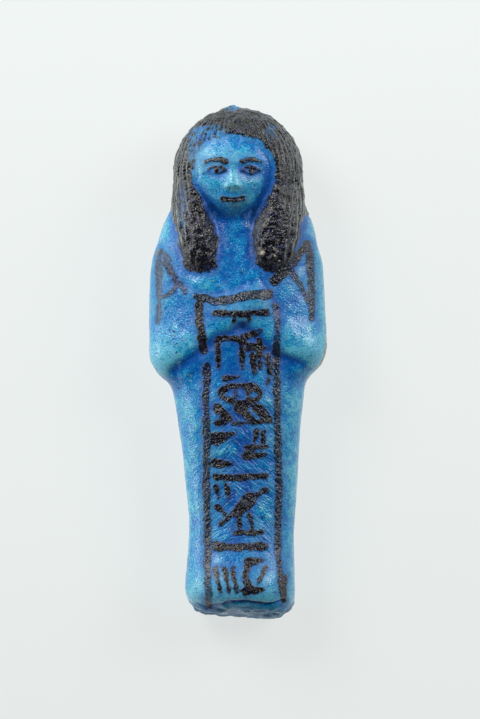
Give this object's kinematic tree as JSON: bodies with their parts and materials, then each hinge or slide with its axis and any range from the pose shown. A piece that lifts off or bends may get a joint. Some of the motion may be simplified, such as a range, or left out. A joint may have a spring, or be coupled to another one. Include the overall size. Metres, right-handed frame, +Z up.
{
  "type": "ushabti figurine",
  "caption": "Small mummiform tomb figure of blue glazed quartz paste, with a striated black wig, crossed arms and a painted column down the legs, lying on its back.",
  "frame": {"origin": "middle of the box at the level the figure lies on", "axes": "+Z up out of the chest, +Y from the feet to the crown, +X to the right of someone looking down on it"},
  "size_m": [0.0364, 0.105, 0.0239],
  "materials": {
    "glazed_faience": "uneven turquoise to cobalt glaze over quartz paste, black-brown painted details, semi-gloss"
  },
  "bodies": {
    "root": {"figurine": "glazed_faience"}
  },
  "joints": []
}
